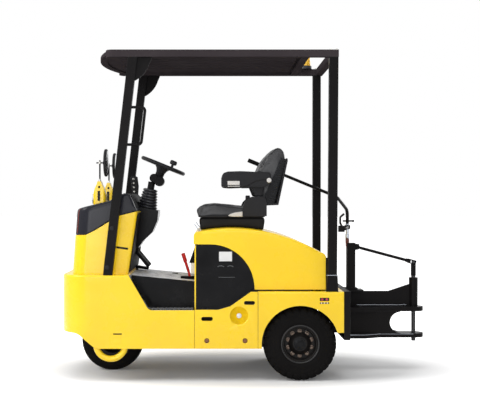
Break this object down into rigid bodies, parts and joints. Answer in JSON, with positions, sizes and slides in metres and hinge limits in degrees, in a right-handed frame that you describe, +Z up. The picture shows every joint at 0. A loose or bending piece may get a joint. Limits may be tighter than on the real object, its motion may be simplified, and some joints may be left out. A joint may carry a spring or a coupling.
{
  "type": "airport tow tractor",
  "caption": "Seated electric tow tractor: steered front wheel, overhead guard, opening battery hood with seat, and rear hitch with a remote lifted pin.",
  "frame": {"origin": "on the ground, below the middle of the overall box", "axes": "+X forward, +Y to the driver's left, +Z up"},
  "size_m": [2.426, 1, 2.2359],
  "materials": {
    "yellow_paint": "gloss",
    "black_paint": "satin",
    "black_plastic": "gloss",
    "soft_black_plastic": "matte",
    "seat_vinyl": "satin",
    "black_rubber": "matte",
    "floor_mat": "matte",
    "tyre_rubber": "matte",
    "rim_black": "satin",
    "red_plastic": "satin",
    "amber_lens": "gloss",
    "pin_steel": "satin",
    "battery_case": "matte",
    "motor_paint": "matte"
  },
  "bodies": {
    "chassis": {"battery_block": "battery_case", "beacon": "amber_lens", "chassis_frame": "black_paint", "column_cover": "black_plastic", "cowl_cap": "black_plastic", "drive_motor": "motor_paint", "floor_plate": "floor_mat", "front_body": "yellow_paint", "front_cowl": "yellow_paint", "front_pillar_left": "black_paint", "front_pillar_right": "black_paint", "grab_handle": "black_paint", "headlamp_left": "yellow_paint", "headlamp_right": "yellow_paint", "hitch_bracket": "black_paint", "hood_hinge_left": "black_paint", "hood_hinge_right": "black_paint", "lever_bracket": "black_paint", "mirror_left": "black_plastic", "mirror_right": "black_plastic", "parking_lever": "red_plastic", "pedals": "black_plastic", "rear_axle": "black_paint", "rear_deck": "yellow_paint", "rear_fender_left": "yellow_paint", "rear_fender_right": "yellow_paint", "rear_frame": "black_paint", "rear_pillar_left": "black_paint", "rear_pillar_right": "black_paint", "release_lever": "black_paint", "release_post": "black_paint", "roof_frame": "black_paint", "roof_panel": "black_paint", "seat_box_front": "yellow_paint", "side_cover_left": "black_plastic", "side_cover_right": "black_plastic", "side_panel_left": "yellow_paint", "side_panel_right": "yellow_paint", "skirt_hoops": "yellow_paint", "steering_boot": "black_rubber", "steering_column": "black_paint", "step_well_left": "black_paint", "step_well_right": "black_paint"},
    "hood": {"battery_hood": "yellow_paint", "seat_base": "soft_black_plastic", "seat_cushion": "seat_vinyl", "seat_shell": "soft_black_plastic", "seat_backrest": "seat_vinyl", "armrest_left": "soft_black_plastic", "armrest_right": "soft_black_plastic"},
    "fork": {"fork": "black_paint"},
    "front_wheel": {"front_tyre": "tyre_rubber", "front_rim": "rim_black"},
    "rear_wheel_left": {"rear_tyre_left": "tyre_rubber", "rear_rim_left": "rim_black"},
    "rear_wheel_right": {"rear_tyre_right": "tyre_rubber", "rear_rim_right": "rim_black"},
    "steering_wheel": {"steering_wheel": "soft_black_plastic"},
    "lift_arm": {"lift_arm": "black_paint"},
    "hitch_pin": {"hitch_pin": "pin_steel"}
  },
  "joints": [
    {"name": "fork_steer", "type": "hinge", "parent": "chassis", "child": "fork", "pos_m": [0.938, 0, 0.45], "axis": [0, 0, 1], "range_deg": [-75, 75]},
    {"name": "front_wheel_spin", "type": "hinge", "parent": "fork", "child": "front_wheel", "pos_m": [0.918, 0, 0.211], "axis": [0, 1, 0], "continuous": true},
    {"name": "rear_wheel_left_spin", "type": "hinge", "parent": "chassis", "child": "rear_wheel_left", "pos_m": [-0.327, 0.413, 0.236], "axis": [0, 1, 0], "continuous": true},
    {"name": "rear_wheel_right_spin", "type": "hinge", "parent": "chassis", "child": "rear_wheel_right", "pos_m": [-0.327, -0.413, 0.236], "axis": [0, 1, 0], "continuous": true},
    {"name": "steering_wheel_turn", "type": "hinge", "parent": "chassis", "child": "steering_wheel", "pos_m": [0.577, 0, 1.397], "axis": [-0.3746, 0, 0.9272], "range_deg": [-760, 760]},
    {"name": "hood_open", "type": "hinge", "parent": "chassis", "child": "hood", "pos_m": [-0.46, 0, 0.592], "axis": [0, -1, 0], "range_deg": [0, 35]},
    {"name": "pin_lift", "type": "slide", "parent": "chassis", "child": "hitch_pin", "axis": [0, 0, 1], "range_m": [0, 0.209]},
    {"name": "lift_arm_swing", "type": "hinge", "parent": "chassis", "child": "lift_arm", "pos_m": [-0.758, 0, 0.838], "axis": [0, 1, 0], "range_deg": [0, 30.5]}
  ],
  "couplings": [
    {"joint": "steering_wheel_turn", "follows": "fork_steer", "ratio": 10},
    {"joint": "lift_arm_swing", "follows": "pin_lift", "rad_per_m": 2.5053}
  ]
}
